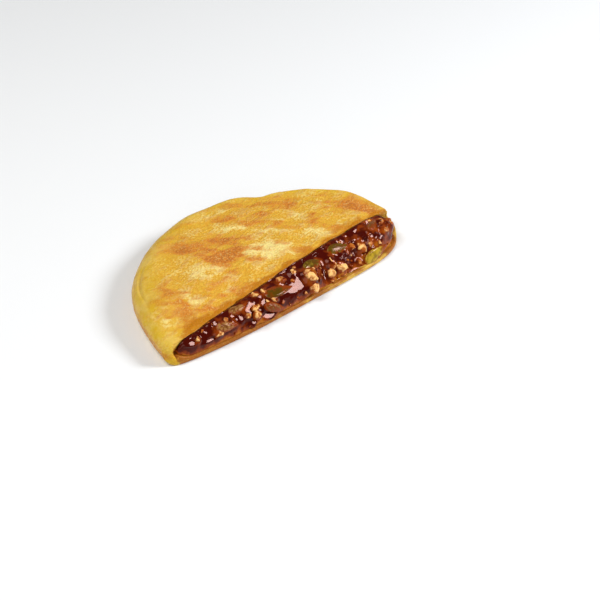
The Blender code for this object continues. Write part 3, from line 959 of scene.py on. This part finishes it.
def syrup_loops(x, across):
    """Loops round the filling's core: down the open face, in along the floor, back under the roof."""
    front_y, front_z = filling_front(x, across, GAP, SYRUP_TUCK)
    share = np.linspace(0, 1, POUCH_STEPS + 1)[None, 1:]
    floor_y, roof_y = pouch_loop(front_y[:, -1:], pouch_depth(x) - SYRUP_END, front_y[:, :1],
                                 share, share[:, :-1])
    return loop_grid(x, [(front_y, front_z), (floor_y, pouch_heights(x, floor_y)[0] + GAP),
                         (roof_y, pouch_heights(x, roof_y)[1] - GAP)])


def mounds(front, height):
    """How far the syrup climbs each seed and nut, and how much it covers, both by flat bell curves."""
    swell, cover = np.zeros((2, *front.shape[:2]))
    for kind, x, across, turn, size, skin, tone in laid_pieces():
        place, along, down, outwards = face_frame(x, across)
        a, b = turned((front - place) @ along, (front - place) @ down, turn)
        spread = np.hypot(a / (size[0] / 2), b / (size[1] / 2))
        mound = height * (1 if kind == "peanut" else SEED_MOUND) * size[2] / 2
        mound = mound * np.exp(-(spread / MOUND_REACH) ** MOUND_POWER)
        swell = np.maximum(swell, mound) + MOUND_OVERLAP * np.minimum(swell, mound)
        covered = np.exp(-(spread / COVER_REACH) ** MOUND_POWER) * (1 - COVER_TONE * tone)
        cover = np.maximum(cover, covered)
    return swell, cover


def syrup_shape(settings):
    """The filling's core with its open face raised, and its depth for the colour as an attribute.

    Mounds rise round the nuts, and low ripples are noise of two sizes. Curls are noise folded
    at its middle into sharp ridges. Each pool is a plane through the face, turned towards
    the front and set in by a flat bell curve with an edge that wanders. The meniscus is a
    bell curve in front of the top lip. What would enter the dough is then held back.
    """
    x = along_cut(SYRUP_SECTIONS)
    x = x[past_pouch(x) < -SYRUP_END][:, None]
    across = np.linspace(0, 1, FRONT_STEPS + 1)[None, :]
    grid = syrup_loops(x, across)
    face = np.s_[:, :FRONT_STEPS + 1]
    front, outwards = grid[face], -grid_normals(grid)[face]
    places = np.moveaxis(front, -1, 0)
    ends = blend(0, END_EASE, -past_pouch(x))

    swell, cover = mounds(front, settings.mounds)
    ripples = noise("ripples", *places) - 0.5 + SMALL_RIPPLES * (noise("small_ripples", *places) - 0.5)
    ripples = settings.ripples * ripples * 2
    curls = settings.curls * (1 - np.abs(2 * noise("curls", *places) - 1)) ** 2
    curls = curls * blend(*CURLS_ALONG, x) * blend(*CURLS_ACROSS, across)
    edges = np.sin(across * math.pi).clip(0) ** EDGE_POWER
    lift = (swell + ripples + curls) * edges * ends
    wander = POOL_EDGE[0] + POOL_EDGE[1] * noise("pool_edge", *places)
    pooled = np.zeros(lift.shape)
    for pool in pool_places():
        share = np.exp(-(pool_spread(front, pool) * wander) ** POOL_POWER)
        facing = np.array(POOL_FACING) * (pool[0], 1, 1)
        level = (pool[1][0] - front) @ facing / np.maximum(outwards @ facing, POOL_SLOPE)
        level = level + POOL_RISE + POOL_RIPPLES * ripples
        lift = between(lift, level, share * ends)
        pooled = np.maximum(pooled, share)
    front = front + outwards * lift[..., None]
    climb = bell(np.maximum(front_line(x) - front[..., 1], 0), MENISCUS_REACH) * ends
    front[..., 2] += settings.meniscus * climb * (1 - POOL_MENISCUS * pooled)
    grid[face] = front

    x, y, z = np.moveaxis(grid, -1, 0)
    floor, roof = pouch_heights(x, y)
    z = np.maximum(z, floor + GAP)
    line = front_line(x)
    entering = (y > line - GAP) & (z > roof - GAP)
    deep = y > line + UNDER_LIP
    z = np.where(entering & deep, roof - GAP, z)
    y = np.where(entering & ~deep, line - GAP, y)
    thick = np.clip((z - floor) / settings.film_depth, 0, 1) * (1 - CLEARER * blend(*CLEARER_PLACES, x))
    thick[face] = np.maximum(thick[face] * (1 - COVER_CLEARER * cover), POOL_DEPTH * pooled)
    return grid_mesh("syrup", [np.stack([x, y, z], axis=-1)[:, ::-1]], {"thick": [thick[:, ::-1]]})


class Shader:
    """A material's node tree, with short calls for its nodes."""

    def __init__(self, name):
        self.material = bpy.data.materials.new(name)
        self.material.use_nodes = True
        self.tree = self.material.node_tree
        self.surface = self.tree.nodes["Principled BSDF"]

    def node(self, kind, **inputs):
        made = self.tree.nodes.new(kind)
        for key, value in inputs.items():
            self.set(made, key.replace("_", " "), value)
        return made

    def set(self, node, key, value):
        """Link or set an input; a colour gets full opacity."""
        socket = node.inputs[key]
        if isinstance(value, bpy.types.NodeSocket):
            self.tree.links.new(value, socket)
        elif socket.type == "RGBA":
            socket.default_value = (*value, 1)
        else:
            socket.default_value = value

    def finish(self, **values):
        """Set or link inputs of the surface itself."""
        for key, value in values.items():
            self.set(self.surface, key.replace("_", " "), value)

    def attribute(self, key):
        made = self.node("ShaderNodeAttribute")
        made.attribute_name = key
        return made.outputs["Fac"]

    def noise(self, size, detail, stretch=(1, 1, 1), turn=0.0):
        """Noise of this size in metres, drawn out and turned about the vertical."""
        mapping = self.node("ShaderNodeMapping", Vector=self.node("ShaderNodeTexCoord").outputs["Object"])
        mapping.inputs["Rotation"].default_value = (0, 0, -turn)
        mapping.inputs["Scale"].default_value = [1 / (size * part) for part in stretch]
        made = self.node("ShaderNodeTexNoise", Vector=mapping.outputs["Vector"], Scale=1.0, Detail=detail)
        return made.outputs["Fac"]

    def level(self, value, low, high):
        """Map low to 0 and high to 1, clamped and smooth."""
        made = self.node("ShaderNodeMapRange", Value=value, From_Min=low, From_Max=high)
        made.interpolation_type = "SMOOTHSTEP"
        return made.outputs["Result"]

    def span(self, value, low, high):
        """Map 0 to low and 1 to high."""
        return self.node("ShaderNodeMapRange", Value=value, To_Min=low, To_Max=high).outputs["Result"]

    def math(self, operation, first, second):
        """One operation on two values or sockets."""
        made = self.node("ShaderNodeMath")
        made.operation = operation
        self.set(made, 0, first)
        self.set(made, 1, second)
        return made.outputs["Value"]

    def plus(self, first, second):
        return self.math("ADD", first, second)

    def times(self, first, second):
        return self.math("MULTIPLY", first, second)

    def mix(self, share, first, second):
        """A colour from first at share 0 to second at share 1."""
        made = self.node("ShaderNodeMix")
        made.data_type = "RGBA"
        for socket, value in ((0, share), (6, first), (7, second)):
            self.set(made, socket, value)
        return made.outputs[2]

    def bump(self, height, distance):
        return self.node("ShaderNodeBump", Height=height, Distance=distance, Strength=1.0).outputs["Normal"]


def crust_material(colours):
    """Gold dough with pale and browned patches, streaks, and blisters whose pale specks are partly painted
    glints, under a thin film of oil.
    """
    shader = Shader("griddled_crust")
    level, span, plus, times, mix = shader.level, shader.span, shader.plus, shader.times, shader.mix
    streaks = level(shader.attribute("streaks"), *SOFT)
    mottle = level(shader.noise(MOTTLE_SIZE, 4, MOTTLE_STRETCH, GRIDDLE_TURN), *SOFT)
    grain = level(shader.noise(GRAIN_SIZE, 4, GRAIN_STRETCH, GRIDDLE_TURN), *SOFT)
    blisters = shader.noise(GRAIN_SIZE, 2)

    def uneven(key, streaked, low, weight):
        """An attribute with streaks added, times their share from low up, plus mottling and grain."""
        value = plus(shader.attribute(key), span(streaks, *streaked))
        value = plus(times(value, span(streaks, low, 1.3)), span(mottle, -weight, weight))
        return plus(value, span(grain, -0.8 * weight, 0.8 * weight))

    base = mix(grain, colours.amber, colours.gold)
    base = mix(level(uneven("pale", (0.25, -0.15), 0.6, 0.22), 0.05, 0.75), base, colours.pale)
    brown = uneven("brown", (-0.2, 0.3), 0.5, 0.2)
    base = mix(level(brown, 0.05, 0.8), base, colours.brown)
    dark = times(level(brown, 0.5, 1.1), level(grain, 0.9, 0.3))
    base = mix(times(dark, 0.5), base, colours.dark_brown)
    # Pale specks in the browned patches: pale blisters, and painted glints of oil.
    pale_specks_and_glints = times(level(brown, 0.3, 0.7), level(blisters, 0.52, 0.72))
    base = mix(times(pale_specks_and_glints, 0.45), base, colours.pale)
    rim = times(shader.attribute("rim"), span(mottle, 1.05, 0.8))
    pale_rim = times(level(shader.noise(PALE_RIM_SIZE, 4), 0.35, 0.7), 0.45)
    base = mix(times(rim, 0.85), base, mix(pale_rim, colours.rim, colours.pale))
    # The lip colour is oily glaze and painted shade of the drooping lip.
    lip = level(plus(shader.attribute("lip"), span(mottle, -0.25, 0.25)), 0.1, 0.75)
    base = mix(lip, base, colours.lip)
    base = mix(shader.attribute("cut"), base, mix(span(mottle, 0.0, 0.55), colours.crumb, colours.stain))
    # Soaked dough beside the syrup; its wider band at the left end is painted shade.
    stain = level(plus(shader.attribute("stain"), span(mottle, -0.3, 0.3)), 0.2, 0.75)
    base = mix(times(stain, 0.92), base, colours.stain)
    relief = plus(times(blisters, 1.8), plus(mottle, grain))
    relief = times(relief, span(shader.attribute("rim"), 1.0, 0.25))
    shader.finish(
        Base_Color=base,
        Roughness=shader.math("SUBTRACT", span(grain, 0.34, 0.56), times(lip, 0.14)),
        Normal=shader.bump(relief, CRUST_BUMP),
        Subsurface_Weight=0.10,
        Subsurface_Radius=(1.0, 0.45, 0.12),
        Subsurface_Scale=1.2 * MM,
        Specular_IOR_Level=0.28,
        Specular_Tint=(1.0, 0.75, 0.42),
        Coat_Weight=0.06,
        Coat_Roughness=0.2,
        Coat_IOR=1.45,
    )
    return shader.material


def syrup_material(colours):
    """Glassy dark sugar syrup, red where it is less deep and amber where it is thin."""
    shader = Shader("wet_syrup")
    cloud = shader.level(shader.noise(SYRUP_CLOUD_SIZE, 3), *SOFT)
    thick = shader.plus(shader.attribute("thick"), shader.span(cloud, -0.22, 0.32))
    base = shader.mix(shader.level(thick, 0.0, 0.4), colours.syrup_thin, colours.syrup_red)
    shader.finish(
        Base_Color=shader.mix(shader.level(thick, 0.3, 0.85), base, colours.syrup),
        Roughness=0.07,
        Normal=shader.bump(shader.noise(SYRUP_BUMP_SIZE, 1), SYRUP_BUMP),
        Specular_IOR_Level=0.27,
        Specular_Tint=colours.shine,
    )
    return shader.material


def kernel_material(name, colours):
    """A seed or nut, fresh or soaked by its tone, darker low down, where the syrup reaches and as painted
    shade, under a wet film.
    """
    kind, mottle, cloud_size, relief = KERNELS[name]
    fresh, soaked = getattr(colours, kind), getattr(colours, kind + "_deep")
    shader = Shader(name + "_skin")
    tone = shader.attribute("tone")
    cloud = shader.level(shader.noise(cloud_size, 4), *SOFT)
    mixed = shader.plus(tone, shader.span(cloud, -mottle, mottle))
    base = shader.mix(shader.level(mixed, 0.1, 0.8), fresh, soaked)
    # Lower parts of each nut turn red-brown: soaked syrup, and painted shade on the lower sides.
    depth = shader.plus(shader.attribute("soak_and_shade"), shader.times(tone, 0.35))
    depth = shader.plus(depth, shader.span(cloud, -0.2, 0.2))
    shader.finish(
        Base_Color=shader.mix(shader.level(depth, 0.3, 0.9), base, colours.syrup_red),
        Roughness=0.16,
        Normal=shader.bump(shader.noise(KERNEL_GRAIN_SIZE, 3), relief),
        Subsurface_Weight=0.12,
        Subsurface_Radius=(1.0, 0.45, 0.15),
        Subsurface_Scale=1 * MM,
        Specular_IOR_Level=0.27,
        Specular_Tint=colours.shine,
    )
    return shader.material


def add_kernels(name, colours):
    """Join the seeds or nuts of one kind, with each one's tone and how deep it sits in the syrup, which
    darkens its lower part as soaking and as painted shade.
    """
    kind = KERNELS[name][0]
    grids, tones, soaks_and_shade = [], [], []
    fine = fine_crumbs() if kind == "peanut" else []
    for laid_kind, x, across, turn, size, skin, tone in laid_pieces() + fine:
        if laid_kind == kind:
            place, along, down, outwards = face_frame(x, across)
            height = (skin - place) @ outwards / (size[2] / 2)
            grids.append(skin)
            tones.append(tone)
            soaks_and_shade.append(np.clip(1 - (height - SOAK_AND_SHADE_HEIGHT) / SOAK_AND_SHADE_FADE, 0, 1))
    mesh = grid_mesh(name, grids, {"tone": tones, "soak_and_shade": soaks_and_shade})
    add_piece(name, mesh, kernel_material(name, colours), "filling")


def colour(name, description, default):
    """A colour setting in linear light."""
    return bpy.props.FloatVectorProperty(name=name, description=description, subtype="COLOR",
                                         size=3, min=0, max=1, default=default)


def length(name, description, default):
    """A length setting in metres."""
    return bpy.props.FloatProperty(name=name, description=description, unit="LENGTH",
                                   subtype="DISTANCE", min=0, precision=5, default=default)


class HotteokShape(bpy.types.PropertyGroup):
    """Relief of the crust and the syrup."""

    dimples: length("Dimples", "Depth of the low dimples of the crust", 0.42 * MM)
    grain: length("Grain", "Depth of the fine grain of the crust", 0.07 * MM)
    creases: length("Crease", "Depth of the crease at the left rim", 0.7 * MM)
    ragged: length("Ragged lip", "How far the top lip's edge is worn back", 0.7 * MM)
    warp: length("Warp", "How far the edges of the browned patches wander", 14 * MM)
    # Width of the lip band: browned oily glaze, and painted shade where the lip droops.
    lip_glaze_and_shade_band: length("Lip band", "Width of the browned band behind the top lip", 2.1 * MM)
    stain_band: length("Stain band", "Width of the soaked dough beside the syrup", 1.5 * MM)
    rim_band: length("Rim band", "Width of the yellow band along the rim", 7 * MM)
    ripples: length("Ripples", "Height of the syrup's ripples", 0.5 * MM)
    curls: length("Curls", "Height of the sharp folds of syrup at the right", 0.8 * MM)
    meniscus: length("Meniscus", "How far the syrup climbs the top lip", 0.9 * MM)
    film_depth: length("Film depth", "Depth at which the syrup looks fully dark", 3 * MM)
    mounds: bpy.props.FloatProperty(
        name="Mounds", description="How far up a nut the syrup climbs", subtype="FACTOR",
        min=0, max=1.2, default=0.8)


class HotteokColours(bpy.types.PropertyGroup):
    """Colours of the crust, the syrup and what lies in it."""

    gold: colour("Gold", "Griddled dough", (0.74, 0.43, 0.045))
    amber: colour("Amber", "Warmer dough between", (0.66, 0.32, 0.025))
    pale: colour("Pale", "Least browned dough", (0.86, 0.68, 0.24))
    brown: colour("Brown", "Browned patches", (0.62, 0.21, 0.025))
    dark_brown: colour("Dark brown", "Darkest freckles", (0.36, 0.09, 0.015))
    rim: colour("Rim", "Yellow side of the dough", (0.62, 0.40, 0.012))
    # The lip colour: oily glaze, and painted shade where the lip droops.
    lip: colour("Lip", "Oily band behind the top lip", (0.48, 0.17, 0.004))
    crumb: colour("Crumb", "Moist dough at the cut", (0.66, 0.40, 0.06))
    # Stain colour: dough soaked by syrup, also spread as painted shade at the left end of the bottom
    # crust's edge.
    stain: colour("Stain", "Dough soaked by syrup", (0.33, 0.09, 0.005))
    syrup: colour("Syrup", "Deep syrup", (0.055, 0.002, 0.0003))
    syrup_red: colour("Red syrup", "Syrup of middling depth", (0.24, 0.036, 0.002))
    syrup_thin: colour("Thin syrup", "Syrup where it runs thin", (0.44, 0.14, 0.006))
    shine: colour("Shine", "Tint of the syrup's highlights", (1.0, 0.58, 0.48))
    peanut: colour("Peanut", "Fresh nut", (0.90, 0.52, 0.18))
    peanut_deep: colour("Soaked peanut", "Nut that took up syrup", (0.42, 0.11, 0.012))
    pumpkin: colour("Pumpkin seed", "Pale green kernel", (0.45, 0.29, 0.02))
    pumpkin_deep: colour("Soaked pumpkin seed", "Olive kernel", (0.085, 0.042, 0.001))
    sunflower: colour("Sunflower seed", "Grey kernel", (0.33, 0.15, 0.04))
    sunflower_deep: colour("Soaked sunflower seed", "Brown kernel", (0.13, 0.045, 0.007))


class HotteokStage(bpy.types.PropertyGroup):
    """Floor, lights and camera."""

    azimuth: bpy.props.FloatProperty(
        name="Azimuth", description="Camera's turn about the vertical", subtype="ANGLE",
        default=math.radians(-45))
    elevation: bpy.props.FloatProperty(
        name="Elevation", description="Camera's height above the floor", subtype="ANGLE",
        default=math.radians(34.5))
    distance: length("Distance", "From the camera to the half", 0.7)
    floor: colour("Floor", "Plain pale floor", (0.86, 0.86, 0.85))


class CrustOperator(bpy.types.Operator):
    """Build the griddled dough"""

    bl_idname = "hotteok.crust"
    bl_label = "Crust"

    def execute(self, context):
        mesh = crust_shape(context.scene.hotteok_shape)
        add_piece("crust", mesh, crust_material(context.scene.hotteok_colours), "dough")
        return {"FINISHED"}


class SyrupOperator(bpy.types.Operator):
    """Build the syrup filling"""

    bl_idname = "hotteok.syrup"
    bl_label = "Syrup"

    def execute(self, context):
        mesh = syrup_shape(context.scene.hotteok_shape)
        add_piece("syrup", mesh, syrup_material(context.scene.hotteok_colours), "filling")
        return {"FINISHED"}


class PeanutsOperator(bpy.types.Operator):
    """Build the chopped peanuts"""

    bl_idname = "hotteok.peanuts"
    bl_label = "Peanuts"

    def execute(self, context):
        add_kernels("peanuts", context.scene.hotteok_colours)
        return {"FINISHED"}


class PumpkinSeedsOperator(bpy.types.Operator):
    """Build the pumpkin seed kernels"""

    bl_idname = "hotteok.pumpkin_seeds"
    bl_label = "Pumpkin seeds"

    def execute(self, context):
        add_kernels("pumpkin_seeds", context.scene.hotteok_colours)
        return {"FINISHED"}


class SunflowerSeedsOperator(bpy.types.Operator):
    """Build the sunflower seed kernels"""

    bl_idname = "hotteok.sunflower_seeds"
    bl_label = "Sunflower seeds"

    def execute(self, context):
        add_kernels("sunflower_seeds", context.scene.hotteok_colours)
        return {"FINISHED"}


def linked(name, data):
    """A new object in the scene that holds the data."""
    made = bpy.data.objects.new(name, data)
    bpy.context.scene.collection.objects.link(made)
    return made


def add_floor(shade):
    """A plain square round the origin."""
    side = FLOOR_REACH
    square = [(-side, -side, 0), (side, -side, 0), (side, side, 0), (-side, side, 0)]
    mesh = bpy.data.meshes.new("floor")
    mesh.from_pydata(square, [], [(0, 1, 2, 3)])
    shader = Shader("pale_floor")
    shader.finish(Base_Color=shade, Roughness=FLOOR_ROUGHNESS)
    mesh.materials.append(shader.material)
    floor = linked("floor", mesh)


def add_lights(scene):
    """Round soft lights that face the origin, in an even white world."""
    for name, (place, size, power, tint) in LIGHTS.items():
        light = bpy.data.lights.new(name, "AREA")
        light.shape = "DISK"
        light.energy = power
        light.size = size
        light.color = tint
        made = linked(name, light)
        made.location = place
        made.rotation_euler = (-Vector(place)).to_track_quat("-Z", "Y").to_euler()
    world = bpy.data.worlds.new("studio")
    world.use_nodes = True
    background = world.node_tree.nodes["Background"]
    background.inputs["Color"].default_value = (1, 1, 1, 1)
    background.inputs["Strength"].default_value = WORLD_STRENGTH
    scene.world = world
    scene.view_settings.view_transform = "Standard"


def add_camera(scene, azimuth, elevation, distance):
    """A camera at the given angles, aimed so that the half's middle shows at its own pixel."""
    level = Vector((math.sin(azimuth), -math.cos(azimuth), 0)) * math.cos(elevation)
    back = level + Vector((0, 0, math.sin(elevation)))
    right = Vector((math.cos(azimuth), math.sin(azimuth), 0))
    across, down = ((IMAGE_SIZE / 2 - shown) / PIXELS_PER_METRE for shown in SHOWN_AT)
    place = HALF_MIDDLE + back * distance
    aim = HALF_MIDDLE + right * across - back.cross(right) * down
    backwards = (place - aim).normalized()
    right = Vector((0, 0, 1)).cross(backwards).normalized()
    turn = Matrix((right, backwards.cross(right), backwards)).transposed()
    data = bpy.data.cameras.new("camera")
    data.lens = data.sensor_width * PIXELS_PER_METRE * distance / IMAGE_SIZE
    data.clip_start = CLIP_START
    camera = linked("camera", data)
    camera.matrix_world = Matrix.Translation(place) @ turn.to_4x4()
    scene.camera = camera


class StageOperator(bpy.types.Operator):
    """Build the floor, lights and camera"""

    bl_idname = "hotteok.stage"
    bl_label = "Stage"

    def execute(self, context):
        settings = context.scene.hotteok_stage
        add_floor(settings.floor)
        add_lights(context.scene)
        add_camera(context.scene, settings.azimuth, settings.elevation, settings.distance)
        return {"FINISHED"}


class HotteokPanel(bpy.types.Panel):
    """Lists the pieces and their settings in the sidebar"""

    bl_idname = "HOTTEOK_PT_pieces"
    bl_label = "Hotteok half"
    bl_space_type = "VIEW_3D"
    bl_region_type = "UI"
    bl_category = "Hotteok"

    def draw(self, context):
        for operator in OPERATORS:
            self.layout.operator(operator.bl_idname)
        for name in GROUPS:
            group, box = getattr(context.scene, name), self.layout.box()
            for key in group.bl_rna.properties.keys():
                if key not in ("rna_type", "name"):
                    box.prop(group, key)


OPERATORS = (CrustOperator, SyrupOperator, PeanutsOperator, PumpkinSeedsOperator,
             SunflowerSeedsOperator, StageOperator)
GROUPS = {"hotteok_shape": HotteokShape, "hotteok_colours": HotteokColours, "hotteok_stage": HotteokStage}


def register():
    """Register the settings, then the operators and the panel."""
    for key, group in GROUPS.items():
        bpy.utils.register_class(group)
        setattr(bpy.types.Scene, key, bpy.props.PointerProperty(type=group))
    for shown in (*OPERATORS, HotteokPanel):
        bpy.utils.register_class(shown)


def unregister():
    """Undo register in reverse."""
    for shown in (HotteokPanel, *reversed(OPERATORS)):
        bpy.utils.unregister_class(shown)
    for key, group in GROUPS.items():
        delattr(bpy.types.Scene, key)
        bpy.utils.unregister_class(group)


def main():
    """Register the settings, then build every piece and the stage."""
    register()
    bpy.ops.hotteok.crust()
    bpy.ops.hotteok.syrup()
    bpy.ops.hotteok.peanuts()
    bpy.ops.hotteok.pumpkin_seeds()
    bpy.ops.hotteok.sunflower_seeds()
    bpy.ops.hotteok.stage()


if __name__ == "__main__":
    main()
